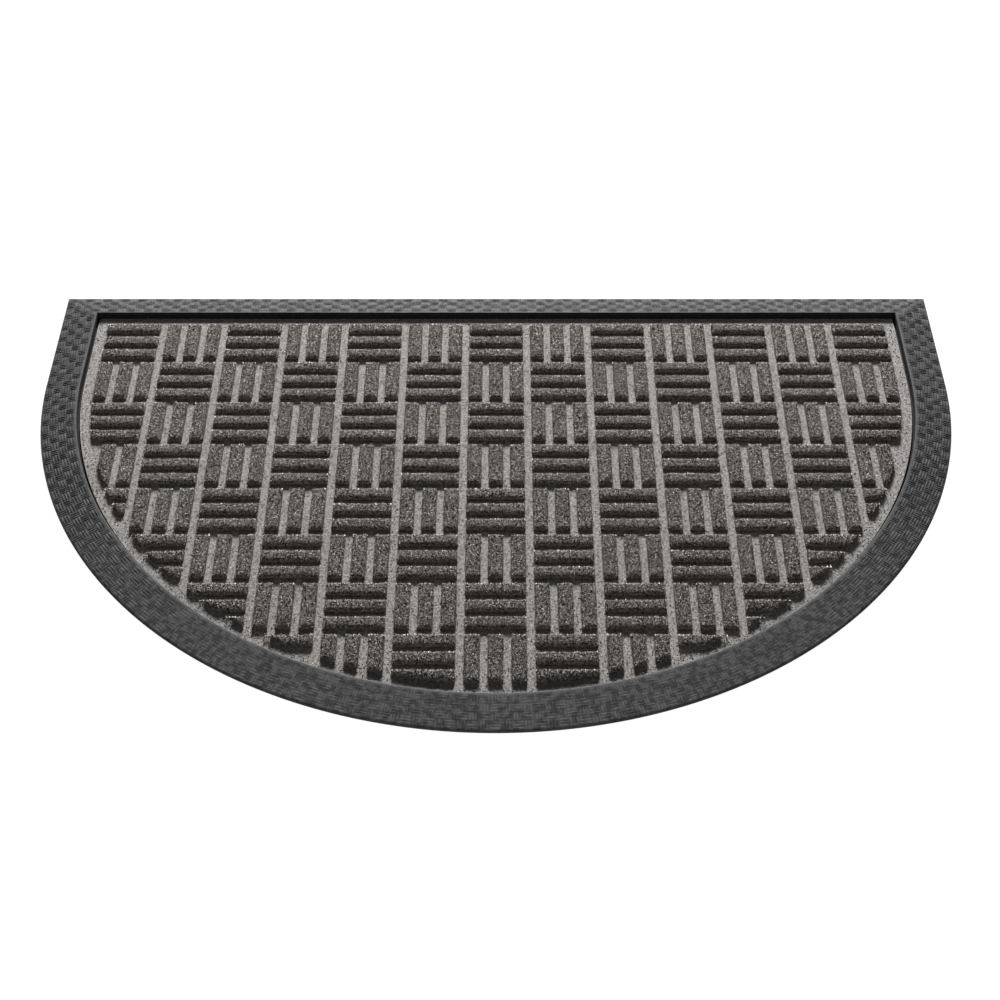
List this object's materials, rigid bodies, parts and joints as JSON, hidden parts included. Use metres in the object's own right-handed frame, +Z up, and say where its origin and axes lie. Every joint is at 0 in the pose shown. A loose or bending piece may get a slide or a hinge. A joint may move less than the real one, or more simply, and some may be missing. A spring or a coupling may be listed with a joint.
{
  "type": "half moon doormat",
  "caption": "Half moon entrance mat: a bevelled rubber tray with a mitred border and a narrow lip, holding a carpet insert with raised bars turned in a chequer of cells.",
  "frame": {"origin": "under the middle of the mat's bounding box, on the floor", "axes": "+Z up out of the mat's face, +Y towards the straight edge, +X along the straight edge"},
  "size_m": [0.91, 0.597, 0.011],
  "materials": {
    "rubber": "moulded, matt, with a fine basket pattern on the bevel",
    "carpet": "short dense needled pile in mottled grey, ribbed into raised bars"
  },
  "bodies": {
    "root": {"rubber_tray": "rubber", "carpet_insert": "carpet"}
  },
  "joints": []
}
